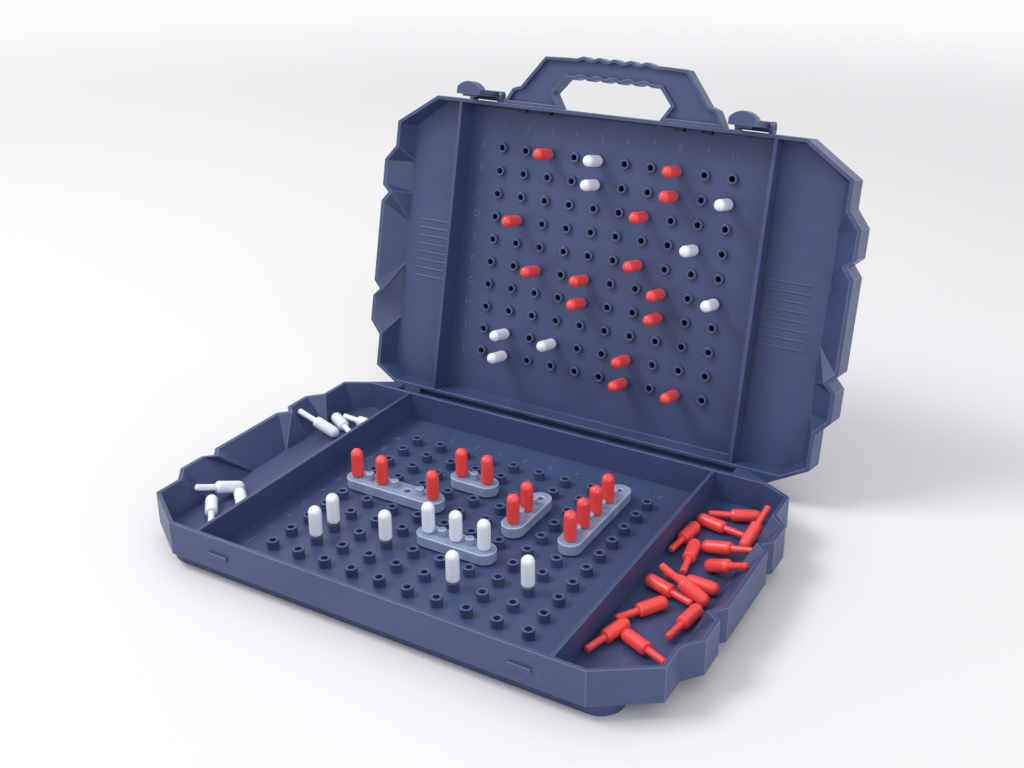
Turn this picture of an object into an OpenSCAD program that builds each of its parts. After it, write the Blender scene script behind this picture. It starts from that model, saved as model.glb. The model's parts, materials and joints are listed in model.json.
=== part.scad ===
// Fleet guessing case: two hinged trays with peg grids, ships, pegs, handle and latches.
// The origin is the middle of the flat underside. +X is right, +Y is towards the hinge.

/* [Case] */
// Half of the case's width beside the grips
body_half_w = 122.6; // [118:0.2:126]
// How far each grip stands out past the body
grip_out = 6.4; // [4:0.2:8]
// How far the notches between the grips stand out past the body
notch_out = 2.4; // [1:0.2:3]
// Reach of the front wall from the grid's middle
front_reach = 77; // [75:0.5:82]
// Reach of the rear wall from the grid's middle
rear_reach = 80; // [79:0.5:84]
// Depth of the recess that takes the hinge
hinge_recess = 6.3; // [6:0.1:7]
// Width of each front corner cut
front_cut_x = 23.6; // [18:0.2:28]
// Length of each front corner cut
front_cut_y = 15.7; // [12:0.2:18]
// Width of each rear corner cut
rear_cut_x = 24.6; // [20:0.2:27]
// Length of each rear corner cut
rear_cut_y = 13.7; // [11:0.2:15]
// Height from the underside to the rim
rim_z = 22; // [21:0.1:25]
// Height of the side walls below the rim
wall_h = 15.4; // [14.8:0.1:17]
// Thickness of the outer walls
wall = 1.8; // [1.4:0.1:2.4]
// Thickness of the floors
floor_t = 1.6; // [1.2:0.1:2.2]
// How far the sloping sides reach in at the floor, beside the grips
side_slope = 6.1; // [4:0.1:9]

/* [Grid] */
// Rows and columns of holes
grid_n = 10; // [8:1:10]
// Distance between columns
pitch_x = 14; // [13:0.1:14.5]
// Distance between rows
pitch_y = 12; // [11:0.1:12.5]
// Depth of the boss tops below the rim
boss_below_rim = 9.8; // [9:0.1:10.5]
// Height of a boss in the base
base_boss_h = 4; // [3:0.1:4.2]
// Height of a boss in the lid
lid_boss_h = 2; // [1:0.1:3]
// Outer diameter of a boss
boss_d = 5.2; // [4.6:0.1:6]
// Width of each side tray's floor
tray_w = 31.2; // [28:0.2:33]
// Thickness of a divider
divider_t = 1.6; // [1.2:0.1:2.4]
// Gap between a divider and the rim
divider_drop = 0.3; // [0.2:0.1:1]

/* [Pegs and ships] */
// Diameter of a peg's head
head_d = 5.7; // [5:0.1:6.2]
// Length of a peg's head
head_h = 14; // [12:0.5:14]
// Diameter of a peg's shank
shank_d = 2.9; // [2.4:0.1:3.2]
// Length of a peg's shank
shank_h = 10; // [8:0.2:10]
// Clearance around a shank, all round
shank_fit = 0.05; // [0.02:0.01:0.1]
// Width of a ship
ship_w = 10.6; // [10:0.1:11.4]
// Thickness of a ship's deck
deck_t = 1.6; // [1.2:0.1:2]
// Depth of a ship's skirt below its deck
skirt_h = 3.2; // [2:0.1:3.4]
// Thickness of a ship's skirt
skirt_t = 1.2; // [0.8:0.1:1.6]
// Diameter of a post on a deck
post_d = 3.8; // [3:0.1:4.4]
// Height of a post on a deck
post_h = 3.4; // [2:0.1:3.5]

/* [Hinge] */
// Height of the hinge line
hinge_z = 10.1; // [10:0.1:11]
// Angle through which the lid opens
lid_open = 102.8; // [95:0.1:105]
// Radius of the hinge barrel
barrel_r = 3.7; // [3.2:0.1:3.8]
// Diameter of a hinge pin
hinge_pin_d = 3.2; // [2.5:0.1:4]
// Length of a hinge pin
hinge_pin_h = 14; // [11:0.5:20]
// Clearance around each pivot pin, all round
pin_fit = 0.05; // [0.02:0.01:0.1]
// Gap between the closed rims
rim_gap = 0.3; // [0.2:0.1:0.6]
// Thickness of the hinge leaf
leaf_t = 2.6; // [2:0.1:3]

/* [Handle] */
// Half width of the handle at its feet
handle_foot_w = 59.3; // [56:0.1:61]
// Half width of the handle at its top
handle_top_w = 38; // [34:0.5:42]
// How far the handle stands out of the front wall
handle_out = 26; // [24:0.5:32]
// Thickness of the handle
handle_t = 8; // [6:0.2:10]
// Height of the stepped feet
foot_step = 8; // [6:0.2:9]
// Distance between finger ripples
ripple_pitch = 8.4; // [7:0.1:9]
// Number of finger ripples
ripple_n = 5; // [3:1:6]
// Height of a finger ripple
ripple_h = 1.2; // [0.6:0.1:1.6]
// Depth of the recess in the handle's face
web_deep = 2.2; // [1:0.1:2.6]
// Width of the rims around that recess
flange_t = 1.7; // [1.2:0.1:2.2]

/* [Latches] */
// Distance from the handle's foot to the middle of each latch
latch_gap = 13; // [12:0.1:16]
// Width of a latch
latch_w = 13.4; // [11:0.2:15]
// Distance of a latch's pivot behind the rim
latch_back = 6.4; // [6:0.1:9]
// Reach of a latch past the rim
latch_reach = 13.7; // [13:0.1:15]
// Height of a latch's thumb grip above the wall
thumb_h = 9; // [7:0.1:10]
// Thickness of a latch's arm
latch_t = 3.2; // [2.4:0.1:4]
// Diameter of a latch pin
latch_pin_d = 2; // [1.6:0.1:2.4]

/* [Covers and screws] */
// Distance from the body's side to the covers
cover_side = 14.6; // [12.6:0.2:18]
// Wall of the covers
cover_t = 1.5; // [1.2:0.1:1.8]
// Corner radius of the covers
cover_r = 10; // [6:0.5:16]
// Distance from the front wall's inside to the covers
cover_inset = 2.5; // [2:0.1:5]
// Diameter of a screw's shank
screw_d = 2.8; // [2.2:0.1:3.2]
// Diameter of a screw's head
screw_head_d = 5.6; // [5:0.1:6]
// Thickness of a screw's head
screw_head_h = 1.8; // [1.4:0.1:2]

/* [Hidden] */

$fn = 32;
over = 0.5;
seat = 0.1;
case_rgb = [0.27, 0.31, 0.40];
red_rgb = [0.88, 0.18, 0.13];
white_rgb = [0.93, 0.94, 0.98];
ship_rgb = [0.72, 0.77, 0.86];
steel_rgb = [0.7, 0.7, 0.72];

foot_half_w = body_half_w - side_slope;
cover_half_w = body_half_w - cover_side;
under_z = rim_z - wall_h;
boss_z = rim_z - boss_below_rim;
base_floor = boss_z - base_boss_h;
lid_floor = boss_z - lid_boss_h;
hole_d = shank_d + 2 * shank_fit;
head_r = head_d / 2;
shank_r = shank_d / 2;
peg_edge = 1.2;
chamfer_in = 0.3 * peg_edge;
tip_edge = 0.5;
corner_y = rear_reach + hinge_recess;
hinge_y = corner_y;
ear_x = body_half_w - rear_cut_x;
ear_w = 5;
recess_x = ear_x - ear_w;
draft = 0.9;
loft_below = 1.2;
ledge = 0.4;
screw_hole_d = screw_d + 0.1;
divider_out = foot_half_w - tray_w;
divider_in = divider_out - divider_t;
post_r = 3.6;
ship_hole_play = 0.3;

// Side profile of the grips: place along the rim, step (0 body, 1 notch, 2 grip), place at the foot
grip_rows = [[-48.2, 0, -41], [-40.2, 2, -36], [-26.5, 2, -24], [-22.8, 1, -8.6], [-17.8, 2, -6],
             [26.2, 2, 14.6], [30.2, 1, 17.2], [34.4, 2, 34], [48.4, 2, 44], [55.4, 0, 49]];
step_out = [0, notch_out, grip_out];

// The base's rows run from the hinge to the front, and the lid's rows the other way.
function grid_x(col) = (col - (grid_n + 1) / 2) * pitch_x;
function grid_y(row) = ((grid_n + 1) / 2 - row) * pitch_y;

function right_side(rear_points) = concat(
    [[body_half_w - front_cut_x, -front_reach], [body_half_w, front_cut_y - front_reach]],
    [for (r = grip_rows) [body_half_w + step_out[r[1]], r[0]]],
    [[body_half_w, corner_y - rear_cut_y]], rear_points);
rear_slope = rear_cut_y / rear_cut_x;
function right_rim() = right_side([[ear_x, corner_y], [recess_x, corner_y], [recess_x, rear_reach]]);
// The inside leaves the hinge ears solid
function right_inside() = right_side([[ear_x + hinge_recess / rear_slope, rear_reach]]);
function mirrored(points) = [for (i = [len(points) - 1:-1:0]) [-points[i][0], points[i][1]]];
function both_sides(points) = concat(points, mirrored(points));
function inward(a, b) = [a[1] - b[1], b[0] - a[0]] / norm(b - a);
// Moves each edge of a closed outline inwards by d
function inset(points, d) = [for (i = [0:len(points) - 1])
    let (before = points[(i + len(points) - 1) % len(points)], here = points[i],
         after = points[(i + 1) % len(points)],
         n1 = inward(before, here), n2 = inward(here, after))
    here + d * (n1 + n2) / (1 + n1 * n2)];
function foot_y(i, y) = i >= 2 && i < 2 + len(grip_rows) ? grip_rows[i - 2][2] : y;
function right_foot() = let (all = inset(both_sides(right_inside()), wall + draft))
    [for (i = [0:len(right_inside()) - 1]) [min(all[i][0], foot_half_w), foot_y(i, all[i][1])]];

// Solid between two outlines with the same number of points, each seen whole from the origin
module loft(low, z0, high, z1) {
    n = len(low);
    sides = [for (i = [0:n - 1]) let (j = (i + 1) % n)
             each [[i, n + i, n + j], [i, n + j, j], [i, j, 2 * n], [n + j, n + i, 2 * n + 1]]];
    polyhedron(concat([for (p = low) [p[0], p[1], z0]], [for (p = high) [p[0], p[1], z1]],
                      [[0, 0, z0], [0, 0, z1]]), sides);
}

// Inside of a tray, whose sides slope from the rim to the foot line at floor_z
module cavity(floor_z) {
    rim = inset(both_sides(right_inside()), wall);
    foot = both_sides(right_foot());
    below = loft_below / (rim_z - floor_z);
    beyond = over / (rim_z - floor_z);
    low = [for (i = [0:len(rim) - 1]) foot[i] + (foot[i] - rim[i]) * below];
    high = [for (i = [0:len(rim) - 1]) rim[i] + (rim[i] - foot[i]) * beyond];
    intersection() {
        box([-2 * body_half_w, -2 * rear_reach, floor_z], [2 * body_half_w, 2 * rear_reach, 2 * rim_z]);
        loft(low, floor_z - loft_below, high, rim_z + over);
    }
}

module box(low, high) {
    translate(low) cube(high - low);
}

module rod_x(r, x0, x1, y, z) {
    translate([x0, y, z]) rotate([0, 90, 0]) cylinder(r = r, h = x1 - x0);
}

module both_x() {
    children();
    mirror([1, 0, 0]) children();
}

// ---- trays ----

module at_holes() {
    for (col = [1:grid_n], row = [1:grid_n])
        translate([grid_x(col), grid_y(row), 0]) children();
}

cover_rear_gap = 1.5;
screw_edge_x = 10;
screw_edge_y = 12;
cover_front = cover_inset - front_reach + wall;
cover_rear = rear_reach - cover_rear_gap;
screw_x = cover_half_w - screw_edge_x;
screw_ys = [cover_front + screw_edge_y, (cover_front + cover_rear) / 2, cover_rear - screw_edge_y];

module at_screws() {
    for (side = [-1, 1], y = screw_ys) translate([side * screw_x, y, 0]) children();
}

hollow_end = 3;
hollow_gap = 0.2;
under_inset = 2;
divider_gap = 1;
post_low = 3.5;
screw_hole_skin = 0.6;

// Hollow under the sloping inside of each grip
module grip_hollows(floor_z) {
    outer_x = body_half_w + grip_out - wall;
    run = outer_x - foot_half_w;
    rise = rim_z - floor_z;
    slope_len = norm([run, rise]);
    shift = [rise, -run] / slope_len * (wall + hollow_gap);
    start = [foot_half_w, floor_z] + shift;
    top_z = start[1] + (outer_x - start[0]) * rise / run;
    for (i = [1, 4, 7])
        translate([0, grip_rows[i][0] + hollow_end, 0]) rotate([90, 0, 0]) mirror([0, 0, 1])
            linear_extrude(grip_rows[i + 1][0] - grip_rows[i][0] - 2 * hollow_end)
                polygon([[start[0], under_z - over], [outer_x, under_z - over], [outer_x, top_z], start]);
}

// Hollow from below in the corner behind the rear wall
module corner_hollow() {
    front_y = rear_reach - wall;
    translate([0, 0, under_z - over]) linear_extrude(wall_h - wall + over)
        polygon(inset([[ear_x, front_y], [ear_x + (corner_y - front_y) / rear_slope, front_y],
                       [ear_x, corner_y]], wall));
}

module tray(wing_floor, panel_floor, boss_h) {
    inner_front = wall + draft + ledge - front_reach;
    inner_rear = rear_reach - wall - draft - ledge;
    difference() {
        union() {
            difference() {
                translate([0, 0, under_z]) linear_extrude(wall_h) polygon(both_sides(right_rim()));
                cavity(wing_floor);
                if (wing_floor > panel_floor)
                    box([-divider_in, inner_front, panel_floor],
                        [divider_in, inner_rear, wing_floor + over]);
                both_x() grip_hollows(wing_floor);
                both_x() corner_hollow();
                if (panel_floor - floor_t > under_z)
                    box([under_inset - cover_half_w, cover_front + under_inset, under_z - over],
                        [cover_half_w - under_inset, cover_rear - under_inset, panel_floor - floor_t]);
                if (wing_floor > panel_floor)
                    both_x() box([divider_out + divider_gap, cover_front + under_inset, under_z - over],
                                 [cover_half_w - under_inset, cover_rear - under_inset,
                                  wing_floor - floor_t]);
            }
            both_x() box([divider_in, wall / 2 - front_reach, panel_floor - floor_t / 2],
                         [divider_out, rear_reach - wall / 2, rim_z - divider_drop]);
            at_holes() translate([0, 0, panel_floor - floor_t / 2])
                cylinder(d = boss_d, h = boss_h + floor_t / 2);
            at_screws() translate([0, 0, post_low])
                cylinder(r = post_r, h = wing_floor - floor_t / 2 - post_low);
        }
        at_holes() translate([0, 0, panel_floor - floor_t - over])
            cylinder(d = hole_d, h = boss_h + floor_t + 2 * over);
        at_screws() translate([0, 0, post_low - over])
            cylinder(d = screw_hole_d, h = wing_floor - screw_hole_skin - post_low + over);
    }
}

// ---- covers and screws ----

module rounded_plate(x, y0, y1, r) {
    translate([-x, y0 + r]) square([2 * x, y1 - y0 - 2 * r]);
    translate([r - x, y0]) square([2 * (x - r), y1 - y0]);
    for (cx = [r - x, x - r], cy = [y0 + r, y1 - r]) translate([cx, cy]) circle(r = r, $fn = 64);
}

screw_seat = 2.2;
head_play = 0.6;
shank_play = 0.5;
cover_boss_r = post_r + 0.4;
cover_boss_h = 3.4;

module cover() {
    difference() {
        union() {
            difference() {
                linear_extrude(under_z)
                    rounded_plate(cover_half_w, cover_front, cover_rear, cover_r);
                translate([0, 0, cover_t]) linear_extrude(under_z)
                    rounded_plate(cover_half_w - cover_t, cover_front + cover_t,
                                  cover_rear - cover_t, cover_r - cover_t);
            }
            at_screws() cylinder(r = cover_boss_r, h = cover_boss_h);
        }
        at_screws() {
            translate([0, 0, -over]) cylinder(d = screw_head_d + head_play, h = screw_seat + over);
            cylinder(d = screw_d + shank_play, h = under_z);
        }
    }
}

slot_w = 0.8;
slot_deep = 0.8;

// Pan-head screw with its head downwards, seated at z = 0
module screw(length) {
    slot_l = screw_head_d * 2 / 3;
    translate([0, 0, -screw_head_h]) difference() {
        cylinder(d = screw_head_d, h = screw_head_h);
        for (turn = [0, 90]) rotate(turn)
            translate([-slot_l / 2, -slot_w / 2, -over]) cube([slot_l, slot_w, slot_deep + over]);
    }
    cylinder(d = screw_d, h = length);
}

// ---- hinge ----

// Turns what is drawn in the closed place to the open place
module lid_turn() {
    translate([0, hinge_y, hinge_z]) rotate([-lid_open, 0, 0])
        translate([0, -hinge_y, -hinge_z]) children();
}

// Carries what is drawn like the base to the open lid
module lid_place() {
    lid_turn() translate([0, 0, 2 * rim_z + rim_gap]) rotate([0, 180, 0]) children();
}

leaf_half_w = recess_x - 0.5;
leaf_in = hinge_y - barrel_r;
leaf_rise = 9;
leaf_top = rim_z + leaf_rise;
leaf_foot_h = 5;
heel_gap = 0.3;
heel_x = 50;
heel_w = 20;
heel_h = 3.2;
heel_drop = 1;
pin_bore_h = 9.2;

module hinge_leaf() {
    difference() {
        union() {
            rod_x(barrel_r, -leaf_half_w, leaf_half_w, hinge_y, hinge_z);
            box([-leaf_half_w, leaf_in, hinge_z], [leaf_half_w, leaf_in + leaf_t, leaf_top]);
            box([-leaf_half_w, rear_reach - wall / 2, leaf_top - leaf_foot_h],
                [leaf_half_w, leaf_in + leaf_t, leaf_top]);
            // Heels that meet the base's rear wall when the lid is open
            both_x() translate([0, hinge_y, hinge_z]) rotate([lid_open, 0, 0])
                box([heel_x, rear_reach + heel_gap - hinge_y, -heel_h], [heel_x + heel_w, -heel_drop, over]);
        }
        both_x() rod_x(hinge_pin_d / 2 + pin_fit, leaf_half_w - pin_bore_h, leaf_half_w + over,
                       hinge_y, hinge_z);
    }
}

ear_boss_r = 4;
ear_boss_out = 1.2;
pin_end = ear_x + ear_boss_out;

module ear_bosses() {
    both_x() rod_x(ear_boss_r, recess_x, pin_end, hinge_y, hinge_z);
}

module ear_bores() {
    both_x() rod_x(hinge_pin_d / 2 + pin_fit, recess_x - over, pin_end + over, hinge_y, hinge_z);
}

module hinge_pins() {
    color(steel_rgb)
        both_x() rod_x(hinge_pin_d / 2, pin_end - hinge_pin_h, pin_end, hinge_y, hinge_z);
}

// ---- latches, drawn on the closed case ----

latch_x = handle_foot_w + latch_gap;
latch_out = 3;
latch_y = -front_reach - latch_out;
latch_z = rim_z + rim_gap + latch_back;
latch_end = rim_z + rim_gap - latch_reach;
arm_out = 2.3;
latch_in = -front_reach - arm_out;
tooth_out = 0.95;
lug_r = 2.6;
lug_t = 2.2;
lug_gap = 0.4;
pin_half_w = latch_w / 2 + lug_gap + lug_t;
latch_barrel_r = 2.5;
arm_end = 1;
thumb_t = 6;
thumb_round = 1.24;
catch_below_rim = 9.4;
catch_z = rim_z - catch_below_rim;
catch_out = 1;
catch_w = 10;
catch_h = 2.2;
tooth_w = 8;
tooth_h = 2.1;
tooth_drop = 0.5;
tooth_root = 1;

module latch_catches() {
    both_x() box([latch_x - catch_w / 2, -front_reach - catch_out, catch_z],
                 [latch_x + catch_w / 2, wall / 2 - front_reach, catch_z + catch_h]);
}

module latch_lugs() {
    difference() {
        both_x() for (side = [-1, 1]) {
            mid = latch_x + side * (latch_w / 2 + lug_gap + lug_t / 2);
            rod_x(lug_r, mid - lug_t / 2, mid + lug_t / 2, latch_y, latch_z);
            box([mid - lug_t / 2, latch_y, latch_z - lug_r],
                [mid + lug_t / 2, wall / 2 - front_reach, latch_z + lug_r]);
        }
        both_x() rod_x(latch_pin_d / 2 + pin_fit, latch_x - pin_half_w - over,
                       latch_x + pin_half_w + over, latch_y, latch_z);
    }
}

// Outline of a thumb grip seen along the arm: flat below, round above
module grip_outline(h) {
    intersection() {
        translate([-latch_w / 2, 0]) square([latch_w, h]);
        translate([0, h - latch_w * thumb_round / 2]) circle(d = latch_w * thumb_round, $fn = 64);
    }
}

module latch() {
    difference() {
        union() {
            rod_x(latch_barrel_r, -latch_w / 2, latch_w / 2, latch_y, latch_z);
            box([-latch_w / 2, latch_in - latch_t, latch_end + arm_end],
                [latch_w / 2, latch_in, latch_z]);
            translate([0, latch_in, latch_end]) rotate([0, 0, 180])
                linear_extrude(thumb_t) grip_outline(thumb_h - arm_out);
            // Tooth that goes under the catch
            box([-tooth_w / 2, latch_in - tooth_root, catch_z - tooth_drop - tooth_h],
                [tooth_w / 2, latch_in + tooth_out, catch_z - tooth_drop]);
        }
        rod_x(latch_pin_d / 2 + pin_fit, -latch_w, latch_w, latch_y, latch_z);
    }
}

module latch_at(side) {
    color(case_rgb) lid_turn() translate([side * latch_x, 0, 0]) latch();
}

module latch_pins() {
    color(steel_rgb) lid_turn() both_x()
        rod_x(latch_pin_d / 2, latch_x - pin_half_w, latch_x + pin_half_w, latch_y, latch_z);
}

// ---- handle, drawn like the base with the front wall down ----

handle_step_in = 4.5;
handle_arm_in = 9;
handle_arm_rise = 1.4;
handle_crown = 1;
ripple_drop = 0.6;
ripple_run = 4;
grip_w = 11;
hole_w = 25.2;
hole_top = handle_out - grip_w;
hole_elbow_z = hole_top / 2;
hole_elbow_out = 6.3;
hole_elbow_w = hole_w + hole_elbow_out;
hole_foot_out = 1.1;
hole_foot_w = hole_w + hole_foot_out;
handle_screw_in = [9.3, 23.3];
handle_screw_h = 6;
handle_bore_h = 7;
handle_z = rim_z - handle_t;
handle_screw_z = handle_z + (handle_t - web_deep) / 2;

// Points of a row of finger ripples along y, from x0 to x1
function ripples(x0, x1, y, h) = let (n = ripple_n * 8)
    [for (i = [0:n]) let (x = x0 + (x1 - x0) * i / n)
     [x, y + h * (1 - cos(360 * ripple_n * i / n)) / 2]];

ripple_half = ripple_n * ripple_pitch / 2;
ripple_base = handle_out - ripple_drop;
handle_outer = let (side = [[handle_foot_w, 0], [handle_foot_w - handle_step_in, foot_step],
                            [handle_foot_w - handle_arm_in, foot_step + handle_arm_rise],
                            [handle_top_w, handle_out - handle_crown],
                            [ripple_half + ripple_run, ripple_base]])
    concat(side, ripples(ripple_half, -ripple_half, ripple_base, ripple_h), mirrored(side));
handle_inner = let (side = [[hole_foot_w, -over], [hole_elbow_w, hole_elbow_z], [hole_w, hole_top]])
    concat(side, ripples(ripple_half, -ripple_half, hole_top, ripple_h), mirrored(side));

// The handle's outline with each edge moved in by d
module handle_outline(d) {
    difference() {
        polygon(inset(handle_outer, d));
        polygon(inset(handle_inner, -d));
    }
}

module at_handle_screws() {
    for (side = [-1, 1], screw_in = handle_screw_in)
        translate([side * (handle_foot_w - screw_in), -front_reach, handle_screw_z])
            rotate([90, 0, 0]) children();
}

module carry_handle() {
    color(case_rgb) lid_place() difference() {
        translate([0, -front_reach, handle_z]) linear_extrude(handle_t) mirror([0, 1])
            handle_outline(0);
        translate([0, -front_reach, rim_z - web_deep]) linear_extrude(web_deep + over)
            mirror([0, 1]) handle_outline(flange_t);
        at_handle_screws() translate([0, 0, -over]) cylinder(d = screw_hole_d, h = handle_bore_h);
    }
}

module handle_screws() {
    color(steel_rgb) lid_place() at_handle_screws() translate([0, 0, -wall]) screw(handle_screw_h + wall);
}

// ---- pegs ----

// Peg standing on z = 0 with its shank below
module peg() {
    rotate_extrude($fn = 24) {
        polygon([[0, 0], [head_r - peg_edge, 0], [head_r - chamfer_in, chamfer_in],
                 [head_r, peg_edge], [head_r, head_h - head_r], [0, head_h - head_r]]);
        intersection() {
            translate([0, head_h - head_r]) circle(r = head_r, $fn = 48);
            square([head_r, head_h]);
        }
        polygon([[0, peg_edge], [shank_r, peg_edge], [shank_r, tip_edge - shank_h],
                 [shank_r - tip_edge, -shank_h], [0, -shank_h]]);
    }
}

module pegs_at(places, z) {
    for (p = places) translate([grid_x(p[1]), grid_y(p[0]), z]) peg();
}

// Pegs of the lid: row 1 is next to the handle, column 1 is on the left
module lid_pegs_at(places) {
    lid_place() for (p = places) translate([-grid_x(p[1]), -grid_y(p[0]), boss_z + seat]) peg();
}

// Pegs lying in the right tray, mirrored for the left one. Each is [distance of the head's round end
// from the outer foot line, its y, direction of the shank, rise of the shank].
module lying_pegs(places) {
    for (p = places)
        translate([foot_half_w - p[0], p[1], base_floor + head_r + seat]) rotate([0, -p[3], p[2]])
            translate([head_h - head_r, 0, 0]) rotate([0, -90, 0]) peg();
}

// ---- ships ----

module capsule(length, w) {
    translate([-length / 2, -w / 2]) square([length, w]);
    for (x = [-length / 2, length / 2]) translate([x, 0]) circle(d = w);
}

// Ship along x over n holes with its middle at the origin and its deck's underside at z = 0
module ship(n, pitch) {
    span = (n - 1) * pitch;
    difference() {
        union() {
            difference() {
                translate([0, 0, -skirt_h]) linear_extrude(skirt_h + deck_t) capsule(span, ship_w);
                translate([0, 0, -skirt_h - over]) linear_extrude(skirt_h + over)
                    capsule(span, ship_w - 2 * skirt_t);
            }
            for (i = [0:n - 2]) translate([(i + 0.5) * pitch - span / 2, 0, deck_t / 2])
                cylinder(d = post_d, h = post_h + deck_t / 2);
        }
        for (i = [0:n - 1]) translate([i * pitch - span / 2, 0, -over])
            cylinder(d = hole_d + ship_hole_play, h = deck_t + 2 * over);
    }
}

module ship_across(row, col, n) {
    color(ship_rgb) translate([grid_x(col + (n - 1) / 2), grid_y(row), boss_z + seat])
        ship(n, pitch_x);
}

module ship_along(row, col, n) {
    color(ship_rgb) translate([grid_x(col), grid_y(row + (n - 1) / 2), boss_z + seat])
        rotate([0, 0, 90]) ship(n, pitch_y);
}

deck_z = boss_z + deck_t + 2 * seat;

// ---- fleet and shots ----

five_hits = [[2, 9], [3, 9], [4, 9], [5, 9]];
four_hits = [[5, 1], [5, 2], [5, 4]];
three_long_hits = [[4, 7], [5, 7]];
three_wide_misses = [[7, 5], [7, 6], [7, 7]];
two_hits = [[3, 4], [3, 5]];
ocean_misses = [[8, 2], [9, 2], [8, 4], [9, 7], [8, 9]];
target_hits = [[1, 3], [1, 8], [2, 8], [4, 2], [3, 7], [5, 7], [6, 3], [6, 5], [6, 8], [7, 5],
               [7, 8], [9, 7], [10, 9], [10, 7]];
target_misses = [[1, 5], [2, 5], [2, 10], [4, 9], [6, 10], [9, 2], [9, 4], [10, 2]];
red_in_tray = [[6.5, 67, -158, 0], [26, 53, -10, 0], [27, 45, -95, 0], [2.8, 43.7, 81, 26.5],
               [21.5, 32, -80, 0], [16, 34, -4, 14], [9.5, 21, -22, 27], [3, 6, 178, 0],
               [26.5, -1, -18, 0], [3.5, -3, 176, 26], [17, -13, -122, 0], [23.9, -33, -105, 0],
               [3, -11, -98, 0], [19.1, -38.4, -25, 2.5]];
white_in_tray = [[3.5, 53, -149, 0], [26.5, 54.9, 5, 0], [12, 39.6, -10, 25], [8.5, -26, -66, 18],
                 [6.5, -41.5, -133, 0], [13.5, -30.5, -138, 0]];

// ---- nodes ----

module base_tray() {
    color(case_rgb) difference() {
        union() {
            tray(base_floor, base_floor, base_boss_h);
            ear_bosses();
            latch_catches();
        }
        ear_bores();
    }
}

rib_pitch = 4.4;
rib_gap = 1.2;
rib_w = 22;
rib_t = 0.8;
rib_h = 0.5;
rib_y = -11;
rib_n = 8;

module lid_ribs() {
    both_x() for (i = [0:rib_n - 1])
        box([divider_out + rib_gap, rib_y + i * rib_pitch, boss_z - over],
            [divider_out + rib_gap + rib_w, rib_y + i * rib_pitch + rib_t, boss_z + rib_h]);
}

module lid_tray() {
    color(case_rgb) {
        lid_place() difference() {
            union() {
                tray(boss_z, lid_floor, lid_boss_h);
                lid_ribs();
            }
            at_handle_screws() {
                translate([0, 0, -2 * wall]) cylinder(d = screw_d + shank_play, h = 3 * wall);
                translate([0, 0, -2.5 * wall]) cylinder(d = screw_head_d + head_play, h = 1.5 * wall);
            }
        }
        lid_turn() hinge_leaf();
        lid_turn() latch_lugs();
    }
}

base_screw_h = 5;
lid_screw_h = 7;

module base_cover_screws() {
    color(steel_rgb) at_screws() translate([0, 0, screw_seat]) screw(base_screw_h);
}

module lid_cover_screws() {
    color(steel_rgb) lid_place() at_screws() translate([0, 0, screw_seat]) screw(lid_screw_h);
}

base_tray();
color(case_rgb) cover();  // base_cover
base_cover_screws();
hinge_pins();
lid_tray();
color(case_rgb) lid_place() cover();  // lid_cover
lid_cover_screws();
carry_handle();
handle_screws();
latch_at(-1);  // latch_left
latch_at(1);  // latch_right
latch_pins();
ship_along(1, 9, 5);  // ship_five
ship_across(5, 1, 4);  // ship_four
ship_along(3, 7, 3);  // ship_three_long
ship_across(7, 5, 3);  // ship_three_wide
ship_across(3, 4, 2);  // ship_two
color(red_rgb) pegs_at(five_hits, deck_z);  // ship_five_pegs
color(red_rgb) pegs_at(four_hits, deck_z);  // ship_four_pegs
color(red_rgb) pegs_at(three_long_hits, deck_z);  // ship_three_long_pegs
color(white_rgb) pegs_at(three_wide_misses, deck_z);  // ship_three_wide_pegs
color(red_rgb) pegs_at(two_hits, deck_z);  // ship_two_pegs
color(white_rgb) pegs_at(ocean_misses, boss_z + seat);  // ocean_miss_pegs
color(red_rgb) lid_pegs_at(target_hits);  // target_hit_pegs
color(white_rgb) lid_pegs_at(target_misses);  // target_miss_pegs
color(red_rgb) lying_pegs(red_in_tray);  // loose_red_pegs
color(white_rgb) mirror([1, 0, 0]) lying_pegs(white_in_tray);  // loose_white_pegs
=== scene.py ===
"""Fleet guessing case: finishes, rounded shells, moulded marks, stage, light and camera."""
import json
import math

import bmesh
import bpy
from mathutils import Matrix, Vector


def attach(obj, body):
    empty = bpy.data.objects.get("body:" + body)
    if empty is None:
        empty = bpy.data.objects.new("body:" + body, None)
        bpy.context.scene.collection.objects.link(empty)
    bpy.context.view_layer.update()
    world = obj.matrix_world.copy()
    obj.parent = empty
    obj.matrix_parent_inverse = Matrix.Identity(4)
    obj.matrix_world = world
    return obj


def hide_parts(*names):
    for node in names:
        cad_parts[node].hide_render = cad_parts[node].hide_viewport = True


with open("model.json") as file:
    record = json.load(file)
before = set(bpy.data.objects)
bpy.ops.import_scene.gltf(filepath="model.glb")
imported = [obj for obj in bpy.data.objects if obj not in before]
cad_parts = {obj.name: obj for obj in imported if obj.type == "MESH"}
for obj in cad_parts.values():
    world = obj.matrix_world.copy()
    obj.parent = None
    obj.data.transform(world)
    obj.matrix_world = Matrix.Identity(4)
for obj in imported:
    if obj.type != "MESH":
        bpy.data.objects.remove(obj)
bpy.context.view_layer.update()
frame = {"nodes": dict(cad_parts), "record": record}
NODES = frame["nodes"]
RECORD = frame["record"]
BODY_OF = {node: body for body, nodes in RECORD["behaviour"]["bodies"].items() for node in nodes}
SLOT_OF = {part["node"]: part["material_slot"] for part in RECORD["subparts"]}
MM = 0.001

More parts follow.
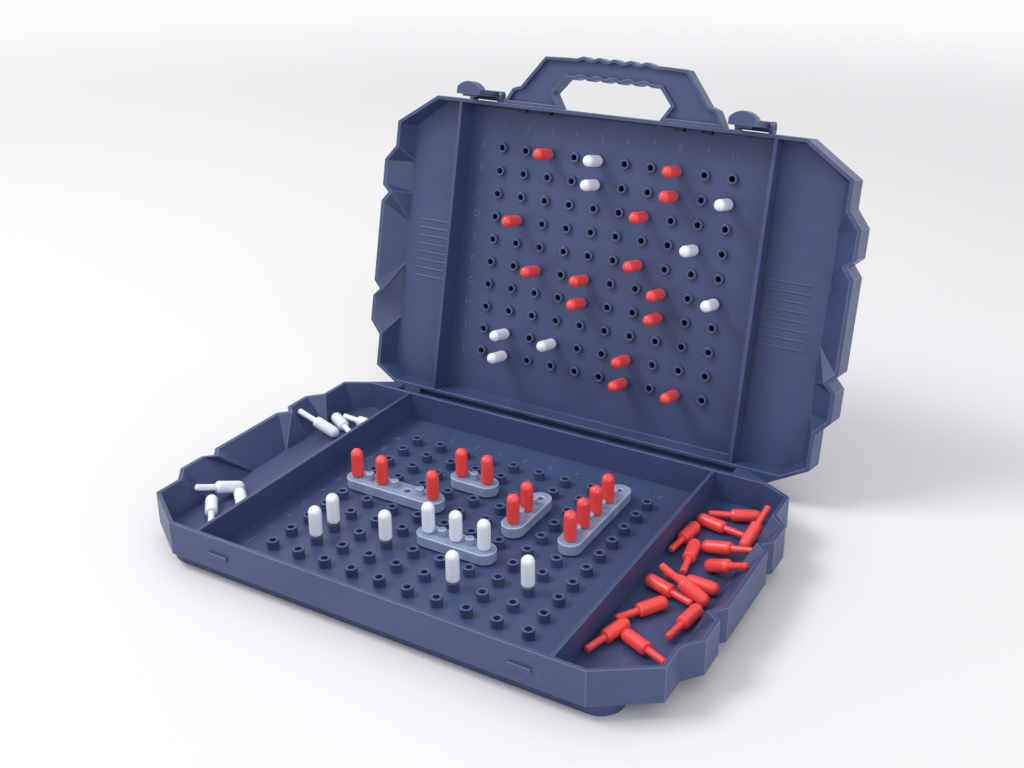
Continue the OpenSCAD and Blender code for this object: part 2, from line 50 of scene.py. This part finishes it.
LID_HINGE = next(joint for joint in RECORD["behaviour"]["joints"] if joint["name"] == "lid_hinge")
HINGE = Vector(LID_HINGE["pos_m"])
OPEN = math.radians(-LID_HINGE["range_deg"][0])
RIM_Z = 22.0
RIM_GAP = 0.3


def lid_matrix():
    """Takes the lid's own frame, drawn like the base, to the open lid."""
    flip = Matrix.Translation((0, 0, (2 * RIM_Z + RIM_GAP) * MM)) @ Matrix.Rotation(math.pi, 4, "Y")
    return Matrix.Translation(HINGE) @ Matrix.Rotation(-OPEN, 4, "X") @ Matrix.Translation(-HINGE) @ flip


LID = lid_matrix()
BASE = Matrix.Identity(4)


# ---- materials ----

class Tree:
    """A small helper that wires a Principled material."""

    def __init__(self, name):
        self.mat = bpy.data.materials.new(name)
        self.mat.use_nodes = True
        self.nt = self.mat.node_tree
        self.bsdf = next(n for n in self.nt.nodes if n.type == "BSDF_PRINCIPLED")
        self.coord = self.node("ShaderNodeTexCoord").outputs["Object"]

    def node(self, kind, **values):
        n = self.nt.nodes.new(kind)
        for key, value in values.items():
            setattr(n, key, value)
        return n

    def put(self, value, socket):
        if hasattr(value, "is_output"):
            self.nt.links.new(value, socket)
        else:
            socket.default_value = value

    def stretched(self, scale):
        m = self.node("ShaderNodeMapping")
        self.put(self.coord, m.inputs["Vector"])
        m.inputs["Scale"].default_value = scale
        return m.outputs["Vector"]

    def noise(self, scale, detail=3.0, rough=0.55, vector=None, distortion=0.0):
        n = self.node("ShaderNodeTexNoise")
        self.put(vector or self.coord, n.inputs["Vector"])
        n.inputs["Scale"].default_value = scale
        n.inputs["Detail"].default_value = detail
        n.inputs["Roughness"].default_value = rough
        n.inputs["Distortion"].default_value = distortion
        return n.outputs["Fac"]

    def ramp(self, value, stops):
        """Maps value through (place, level) stops."""
        r = self.node("ShaderNodeValToRGB")
        self.put(value, r.inputs["Fac"])
        e = r.color_ramp.elements
        while len(e) < len(stops):
            e.new(0.5)
        for k, (place, level) in enumerate(stops):
            e[k].position = place
            e[k].color = (level, level, level, 1)
        return r.outputs["Color"]

    def math(self, op, a, b):
        m = self.node("ShaderNodeMath", operation=op)
        self.put(a, m.inputs[0])
        self.put(b, m.inputs[1])
        return m.outputs["Value"]

    def mix(self, fac, a, b, blend="MIX"):
        m = self.node("ShaderNodeMix", data_type="RGBA", blend_type=blend)
        self.put(fac, m.inputs["Factor"])
        self.put(a if hasattr(a, "is_output") else (*a, 1), m.inputs["A"])
        self.put(b if hasattr(b, "is_output") else (*b, 1), m.inputs["B"])
        return m.outputs["Result"]

    def bump(self, height, distance, strength=1.0, normal=None):
        b = self.node("ShaderNodeBump")
        b.inputs["Strength"].default_value = strength
        b.inputs["Distance"].default_value = distance
        self.put(height, b.inputs["Height"])
        if normal:
            self.put(normal, b.inputs["Normal"])
        return b.outputs["Normal"]

    def finish(self, **values):
        for key, value in values.items():
            self.put(value, self.bsdf.inputs[key.replace("_", " ")])
        return self.mat


def case_plastic(name, dark, light, rough=0.42):
    """Moulded plastic: spark grain, flow marks, scuffs and a little dust on what faces up."""
    t = Tree(name)
    tone = t.ramp(t.noise(22.0, 3.0, 0.6), [(0.32, 0.0), (0.7, 1.0)])
    flow = t.ramp(t.noise(60.0, 4.0, 0.6, t.stretched((1.0, 0.18, 1.0))), [(0.45, 0.0), (0.75, 1.0)])
    speckle = t.ramp(t.noise(1100.0, 2.0, 0.6), [(0.36, 0.0), (0.64, 1.0)])
    scuffs = t.ramp(t.noise(420.0, 3.0, 0.55, t.stretched((1.0, 0.04, 0.5))), [(0.66, 0.0), (0.72, 1.0)])
    scuffs = t.math("MULTIPLY", scuffs, t.ramp(t.noise(30.0, 4.0), [(0.5, 0.0), (0.62, 1.0)]))
    base = t.mix(tone, dark, light)
    base = t.mix(t.math("MULTIPLY", flow, 0.25), base, [c * 1.35 for c in light])
    base = t.mix(t.math("MULTIPLY", speckle, 0.22), base, [c * 0.72 for c in dark])
    base = t.mix(t.math("MULTIPLY", scuffs, 0.35), base, [c * 1.9 for c in light])
    facing = t.node("ShaderNodeSeparateXYZ")
    t.put(t.node("ShaderNodeNewGeometry").outputs["Normal"], facing.inputs["Vector"])
    upward = t.ramp(facing.outputs["Z"], [(0.5, 0.0), (0.95, 1.0)])
    specks = t.ramp(t.noise(520.0, 6.0, 0.8), [(0.66, 0.0), (0.72, 1.0)])
    base = t.mix(t.math("MULTIPLY", t.math("MULTIPLY", specks, upward), 0.10), base, (0.45, 0.47, 0.5))
    rub = t.noise(140.0, 6.0, 0.75, distortion=0.6)
    roughness = t.math("ADD", rough, t.math("MULTIPLY", t.math("SUBTRACT", rub, 0.5), 0.28))
    roughness = t.math("ADD", roughness, t.math("MULTIPLY", scuffs, 0.12))
    normal = t.bump(t.noise(2600.0, 2.0, 0.7), 0.00008, 0.6)
    normal = t.bump(t.noise(300.0, 3.0), 0.00005, 0.35, normal)
    return t.finish(Base_Color=base, Roughness=roughness, Normal=normal, IOR=1.5)


def peg_plastic(name, color, deep, rough=0.3, scatter=0.12):
    """Glossy solid plastic with slight unevenness and fine scuffs."""
    t = Tree(name)
    slow = t.noise(90.0, 2.0)
    scuff = t.noise(1500.0, 5.0, 0.7)
    base = t.mix(t.ramp(slow, [(0.3, 0.0), (0.7, 1.0)]), deep, color)
    roughness = t.math("ADD", rough, t.math("MULTIPLY", t.math("SUBTRACT", scuff, 0.5), 0.3))
    normal = t.bump(t.noise(700.0, 2.0), 0.00004, 0.35)
    t.bsdf.inputs["Subsurface Radius"].default_value = (0.004, 0.002, 0.001)
    t.bsdf.inputs["Subsurface Scale"].default_value = 0.5
    return t.finish(Base_Color=base, Roughness=roughness, Normal=normal, Subsurface_Weight=scatter)


def ship_plastic(name, deep, pale, clear):
    """Cloudy see-through plastic."""
    t = Tree(name)
    cloud = t.noise(160.0, 3.0)
    base = t.mix(t.ramp(cloud, [(0.3, 0.0), (0.7, 1.0)]), deep, pale)
    normal = t.bump(t.noise(900.0, 3.0), 0.00004, 0.4)
    return t.finish(Base_Color=base, Roughness=t.math("ADD", 0.24, t.math("MULTIPLY", cloud, 0.14)),
                    Normal=normal, Transmission_Weight=clear, IOR=1.45)


def black_steel(name):
    """Steel with a thin black finish that is rubbed in fine lines."""
    t = Tree(name)
    lines = t.noise(1600.0, 2.0, 0.5, t.stretched((1.0, 1.0, 0.1)))
    worn = t.ramp(t.noise(700.0, 4.0), [(0.6, 0.0), (0.72, 1.0)])
    base = t.mix(t.math("MULTIPLY", worn, 0.5), (0.025, 0.028, 0.034), (0.14, 0.14, 0.15))
    roughness = t.math("ADD", 0.36, t.math("MULTIPLY", lines, 0.2))
    return t.finish(Base_Color=base, Metallic=0.7, Roughness=roughness,
                    Normal=t.bump(lines, 0.00002, 0.4))


CASE = case_plastic("case_plastic", (0.036, 0.057, 0.145), (0.047, 0.071, 0.175))
COVER = case_plastic("cover_plastic", (0.034, 0.053, 0.131), (0.041, 0.063, 0.156), 0.5)
RED = peg_plastic("red_plastic", (0.94, 0.085, 0.078), (0.86, 0.062, 0.056))
WHITE = peg_plastic("white_plastic", (0.87, 0.92, 1.0), (0.82, 0.88, 0.99), 0.28, 0.2)
SHIP = ship_plastic("ship_plastic", (0.40, 0.50, 0.72), (0.50, 0.61, 0.84), 0.5)
# Paler copy of the ship plastic for the ships' rounded edges: painted highlight along their top edges.
PAINTED_SHIP_EDGE_HIGHLIGHT = ship_plastic("ship_edge_painted_highlight", (0.62, 0.72, 0.90), (0.74, 0.82, 0.96), 0.3)
# Lighter copy of the case plastic for the rounded edge faces: painted highlight along the rims, ridges
# and hole rims.
PAINTED_EDGE_HIGHLIGHT = case_plastic("edge_painted_highlight", (0.076, 0.106, 0.205), (0.099, 0.134, 0.248), 0.32)
MARK = case_plastic("mark_plastic", (0.092, 0.124, 0.232), (0.113, 0.149, 0.270), 0.36)
STEEL = black_steel("black_steel")

SLOT_MATERIAL = {"case_plastic": CASE, "cover_plastic": COVER, "latch_plastic": CASE,
                 "red_plastic": RED, "white_plastic": WHITE, "ship_plastic": SHIP, "steel": STEEL}
for name, o in NODES.items():
    o.data.materials.clear()
    o.data.materials.append(SLOT_MATERIAL[SLOT_OF[name]])


# ---- shells: copies of the solids with rounded edges ----

SHARP = math.radians(32)
SMOOTH_TURN = math.cos(math.radians(30))
ROUNDED_TURN = math.cos(math.radians(62))
SLIVER = 0.004
MERGE = 2e-6
ROUND_SEGMENTS = 2
# Slots whose rounded edge faces take a lighter material: painted highlight along the edges.
PAINTED_EDGE_HIGHLIGHTS = {"case_plastic": PAINTED_EDGE_HIGHLIGHT, "latch_plastic": PAINTED_EDGE_HIGHLIGHT, "ship_plastic": PAINTED_SHIP_EDGE_HIGHLIGHT}


def sharp_outer_edges(bm):
    return [e for e in bm.edges
            if len(e.link_faces) == 2 and e.is_convex and e.calc_face_angle(0) > SHARP]


def face_normal(face, rounded):
    """A face's own normal, or for a sliver that of the face beyond its longest edge."""
    longest = max(face.edges, key=lambda e: e.calc_length())
    if face.calc_area() < SLIVER * longest.calc_length() ** 2:
        beyond = [g for g in longest.link_faces if g is not face and g not in rounded]
        if beyond:
            return beyond[0].normal
    return face.normal


def corner_normals(bm, rounded):
    """Flat faces stay flat, round walls stay smooth and rounded edges blend between them."""
    own = {f: face_normal(f, rounded) for f in bm.faces if f not in rounded}
    result = []
    for face in bm.faces:
        flat = face not in rounded
        mine = own[face] if flat else face.normal
        for vert in face.verts:
            near = [(own[g], g.calc_area()) for g in vert.link_faces
                    if g in own and own[g].dot(mine) > (SMOOTH_TURN if flat else ROUNDED_TURN)]
            if not near:
                near = [(g.normal, g.calc_area()) for g in vert.link_faces
                        if g not in own and g.normal.dot(mine) > ROUNDED_TURN]
            total = sum((n * area for n, area in near), Vector())
            result.append(total.normalized() if total.length else mine)
    return result


def rounded_copy(name, width):
    """A copy of a solid with its outer edges rounded, which stands for the solid."""
    bm = bmesh.new()
    bm.from_mesh(NODES[name].data)
    bmesh.ops.remove_doubles(bm, verts=bm.verts, dist=MERGE)
    made = bmesh.ops.bevel(bm, geom=sharp_outer_edges(bm), offset=width * MM, offset_type="OFFSET",
                           affect="EDGES", segments=ROUND_SEGMENTS, profile=0.5,
                           # The new rounded faces take material 1, the lighter painted-highlight
                           # material, where the slot has one.
                           material=1 if SLOT_OF[name] in PAINTED_EDGE_HIGHLIGHTS else -1,
                           miter_outer="ARC")
    bm.normal_update()
    for face in bm.faces:
        face.smooth = True
    normals = corner_normals(bm, set(made["faces"]))
    mesh = bpy.data.meshes.new(name + "_shell")
    bm.to_mesh(mesh)
    bm.free()
    mesh.normals_split_custom_set(normals)
    mesh.materials.append(NODES[name].data.materials[0])
    if SLOT_OF[name] in PAINTED_EDGE_HIGHLIGHTS:
        mesh.materials.append(PAINTED_EDGE_HIGHLIGHTS[SLOT_OF[name]])
    shell = bpy.data.objects.new(name + "_shell", mesh)
    bpy.context.collection.objects.link(shell)
    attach(shell, BODY_OF[name])
    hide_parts(name)


EDGE_ROUND = {"base_tray": 0.28, "lid_tray": 0.28, "base_cover": 0.4, "lid_cover": 0.4,
              "carry_handle": 0.4, "latch_left": 0.4, "latch_right": 0.4,
              "ship_five": 0.3, "ship_four": 0.3, "ship_three_long": 0.3,
              "ship_three_wide": 0.3, "ship_two": 0.3}
for name, width in EDGE_ROUND.items():
    rounded_copy(name, width)


# ---- moulded marks ----

ROWS = "ABCDEFGHIJ"
COLUMNS = range(1, 11)
ROW_PITCH = 12.0
COLUMN_PITCH = 14.0
LETTERS_OUT = 75.0
NUMBERS_OUT = 65.5
LETTER_SIZE = 5.2
NUMBER_SIZE = 4.8
SIGN_HEIGHT = 0.4
SIGN_EDGE = 0.04
SIGN_LIFT = 0.05
BASE_FLOOR = 8.2
LID_FLOOR = 10.2
WING_FLOOR = 12.2
PIN_RADIUS = 2.6
PIN_RING = 0.5
PIN_HEIGHT = 0.05
PIN_SUNK = -0.02
PIN_STEPS = 32


def spot(x, y, z):
    """A place in millimetres as a matrix."""
    return Matrix.Translation((x * MM, y * MM, z * MM))


def joined(name, parts, material, body):
    """One mesh object from (mesh, matrix) parts."""
    bm = bmesh.new()
    for mesh, matrix in parts:
        start = len(bm.verts)
        bm.from_mesh(mesh)
        bm.verts.ensure_lookup_table()
        bmesh.ops.transform(bm, matrix=matrix, verts=bm.verts[start:])
    mesh = bpy.data.meshes.new(name)
    bm.to_mesh(mesh)
    bm.free()
    mesh.materials.append(material)
    o = bpy.data.objects.new(name, mesh)
    bpy.context.collection.objects.link(o)
    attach(o, body)


def raised_sign(text, size):
    """A letter or number in relief, centred at the origin."""
    curve = bpy.data.curves.new("sign_" + text, "FONT")
    curve.body = text
    curve.size = size * MM
    curve.extrude = SIGN_HEIGHT * MM / 2
    curve.bevel_depth = SIGN_EDGE * MM
    curve.bevel_resolution = 1
    curve.resolution_u = 3
    curve.align_x = "CENTER"
    curve.align_y = "CENTER"
    o = bpy.data.objects.new("sign_" + text, curve)
    bpy.context.collection.objects.link(o)
    bpy.context.view_layer.update()
    mesh = bpy.data.meshes.new_from_object(o.evaluated_get(bpy.context.evaluated_depsgraph_get()))
    bpy.data.objects.remove(o)
    return mesh


def pin_mark_mesh():
    """A low ring with sloping sides, such as an ejector pin leaves."""
    bm = bmesh.new()
    profile = [(PIN_RADIUS - PIN_RING, PIN_SUNK), (PIN_RADIUS - 0.7 * PIN_RING, PIN_HEIGHT),
               (PIN_RADIUS - 0.3 * PIN_RING, PIN_HEIGHT), (PIN_RADIUS, PIN_SUNK)]
    verts = [bm.verts.new((r * MM, 0, z * MM)) for r, z in profile]
    edges = [bm.edges.new((v, verts[(k + 1) % len(verts)])) for k, v in enumerate(verts)]
    bmesh.ops.spin(bm, geom=verts + edges, cent=(0, 0, 0), axis=(0, 0, 1), angle=2 * math.pi,
                   steps=PIN_STEPS, use_merge=True)
    bmesh.ops.recalc_face_normals(bm, faces=bm.faces)
    for face in bm.faces:
        face.smooth = True
    mesh = bpy.data.meshes.new("pin_mark")
    bm.to_mesh(mesh)
    bm.free()
    return mesh


LETTERS = [raised_sign(c, LETTER_SIZE) for c in ROWS]
NUMBERS = [raised_sign(str(k), NUMBER_SIZE) for k in COLUMNS]
HALF_TURN = Matrix.Rotation(math.pi, 4, "Z")


def signs(name, body, place, floor_z):
    """Row letters on the left of a grid and column numbers beyond it, as the player sees them."""
    middle = (len(ROWS) - 1) / 2
    z = floor_z + SIGN_LIFT
    parts = [(mesh, place @ spot(-LETTERS_OUT, (middle - k) * ROW_PITCH, z))
             for k, mesh in enumerate(LETTERS)]
    parts += [(mesh, place @ spot((k - middle) * COLUMN_PITCH, NUMBERS_OUT, z))
              for k, mesh in enumerate(NUMBERS)]
    joined(name, parts, MARK, body)


signs("base_signs", "base", BASE, BASE_FLOOR)
signs("lid_signs", "lid", LID @ HALF_TURN, LID_FLOOR)

PIN_MARK = pin_mark_mesh()
BESIDE_GRID = 75.5
BASE_FRONT_MARK = (0, -67.5, BASE_FLOOR)
BASE_SIDE_MARKS = [(BESIDE_GRID, y, BASE_FLOOR) for y in (-48, 0, 48)]
BASE_TRAY_MARKS = [(x, y, BASE_FLOOR) for x in (-100, 100) for y in (-62, 70)]
LID_SIDE_MARKS = [(-BESIDE_GRID, y, LID_FLOOR) for y in (-40, 8, 50)]
LID_WING_MARKS = [(x, y, WING_FLOOR) for x in (-93, 93) for y in (-50, 44)]
LID_REAR_MARK = (0, 66, LID_FLOOR)


def pin_marks(name, body, place, spots):
    joined(name, [(PIN_MARK, place @ spot(*at)) for at in spots], CASE, body)


pin_marks("base_pin_marks", "base", BASE, BASE_SIDE_MARKS + [BASE_FRONT_MARK] + BASE_TRAY_MARKS)
pin_marks("lid_pin_marks", "lid", LID, LID_SIDE_MARKS + LID_WING_MARKS + [LID_REAR_MARK])


# ---- stage, light and camera ----

BACKDROP = (0.97, 0.98, 1.0)
FLOOR_PAINT = (0.76, 0.76, 0.77)
FLOOR_REACH = 6.0
FLOOR_DROP = 0.0001
FADE_NEAR = 0.75
FADE_FAR = 1.9
SKY_LIGHT = 0.72


def seen_rays(nodes, links):
    """1 for rays that show the backdrop itself, 0 for the light it gives."""
    path = nodes.new("ShaderNodeLightPath")
    total = path.outputs["Is Camera Ray"]
    for name in ("Is Glossy Ray", "Is Transmission Ray"):
        add = nodes.new("ShaderNodeMath")
        add.operation = "ADD"
        add.use_clamp = True
        links.new(total, add.inputs[0])
        links.new(path.outputs[name], add.inputs[1])
        total = add.outputs["Value"]
    return total


def floor_paint():
    """Matt pale paint that keeps the shadow, and fades to the backdrop further out."""
    t = Tree("floor_paint")
    shade = t.ramp(t.noise(3.0, 2.0), [(0.3, 0.0), (0.7, 1.0)])
    t.finish(Base_Color=t.mix(shade, [c * 0.985 for c in FLOOR_PAINT], FLOOR_PAINT), Roughness=0.6)
    distance = t.node("ShaderNodeVectorMath", operation="LENGTH")
    t.put(t.coord, distance.inputs[0])
    fade = t.node("ShaderNodeMapRange", interpolation_type="SMOOTHSTEP")
    t.put(distance.outputs["Value"], fade.inputs["Value"])
    t.put(FADE_NEAR, fade.inputs["From Min"])
    t.put(FADE_FAR, fade.inputs["From Max"])
    glow = t.node("ShaderNodeEmission")
    t.put((*BACKDROP, 1), glow.inputs["Color"])
    shader = t.node("ShaderNodeMixShader")
    seen = seen_rays(t.nt.nodes, t.nt.links)
    t.put(t.math("MULTIPLY", fade.outputs["Result"], seen), shader.inputs[0])
    t.put(t.bsdf.outputs["BSDF"], shader.inputs[1])
    t.put(glow.outputs["Emission"], shader.inputs[2])
    output = next(n for n in t.nt.nodes if n.type == "OUTPUT_MATERIAL")
    t.put(shader.outputs["Shader"], output.inputs["Surface"])
    return t.mat


def floor():
    bm = bmesh.new()
    bmesh.ops.create_grid(bm, x_segments=1, y_segments=1, size=FLOOR_REACH)
    mesh = bpy.data.meshes.new("floor")
    bm.to_mesh(mesh)
    bm.free()
    mesh.materials.append(floor_paint())
    o = bpy.data.objects.new("floor", mesh)
    bpy.context.collection.objects.link(o)
    o.location = (0, 0, -FLOOR_DROP)


floor()


def light(name, place, target, size, power, color=(1, 1, 1)):
    data = bpy.data.lights.new(name, "AREA")
    data.shape = "RECTANGLE"
    data.size, data.size_y = size
    data.energy = power
    data.color = color
    o = bpy.data.objects.new(name, data)
    bpy.context.collection.objects.link(o)
    o.location = place
    o.rotation_euler = (Vector(target) - Vector(place)).to_track_quat("-Z", "Y").to_euler()


CASE_MIDDLE = (0, 0.03, 0.05)
light("key", (-0.9, -0.5, 1.4), CASE_MIDDLE, (0.7, 0.6), 16.5, (1.0, 0.99, 0.97))
light("fill", (1.1, -0.7, 0.75), CASE_MIDDLE, (1.0, 1.0), 5.5, (0.95, 0.97, 1.0))
light("top", (-0.1, 0.35, 1.4), (0, 0.05, 0.0), (1.2, 0.8), 1.5)

world = bpy.data.worlds.new("world")
world.use_nodes = True
background = world.node_tree.nodes["Background"]
background.inputs["Color"].default_value = (*BACKDROP, 1)
level = world.node_tree.nodes.new("ShaderNodeMapRange")
level.inputs["To Min"].default_value = SKY_LIGHT
world.node_tree.links.new(seen_rays(world.node_tree.nodes, world.node_tree.links), level.inputs["Value"])
world.node_tree.links.new(level.outputs["Result"], background.inputs["Strength"])
bpy.context.scene.world = world

PICTURE_W = 1024
LENS_AXIS = (555.4, 391.0)
CENTRE = (540.0, 440.0)
ZOOM = 1.5
SENSOR = 36.0
LENS = 28.03
CAMERA_PLACE = (0.2512, -0.3819, 0.2898)
CAMERA_TURN = math.radians(29.48)
CAMERA_DOWN = math.radians(21.41)

camera_data = bpy.data.cameras.new("camera")
camera_data.sensor_width = SENSOR
camera_data.lens = LENS * ZOOM
camera_data.shift_x = -ZOOM * (LENS_AXIS[0] - CENTRE[0]) / PICTURE_W
camera_data.shift_y = ZOOM * (LENS_AXIS[1] - CENTRE[1]) / PICTURE_W
camera_data.clip_start = 0.01
camera = bpy.data.objects.new("camera", camera_data)
bpy.context.collection.objects.link(camera)
camera.location = CAMERA_PLACE
camera.rotation_euler = (math.pi / 2 - CAMERA_DOWN, 0, CAMERA_TURN)
bpy.context.scene.camera = camera
bpy.context.scene.view_settings.view_transform = "Standard"
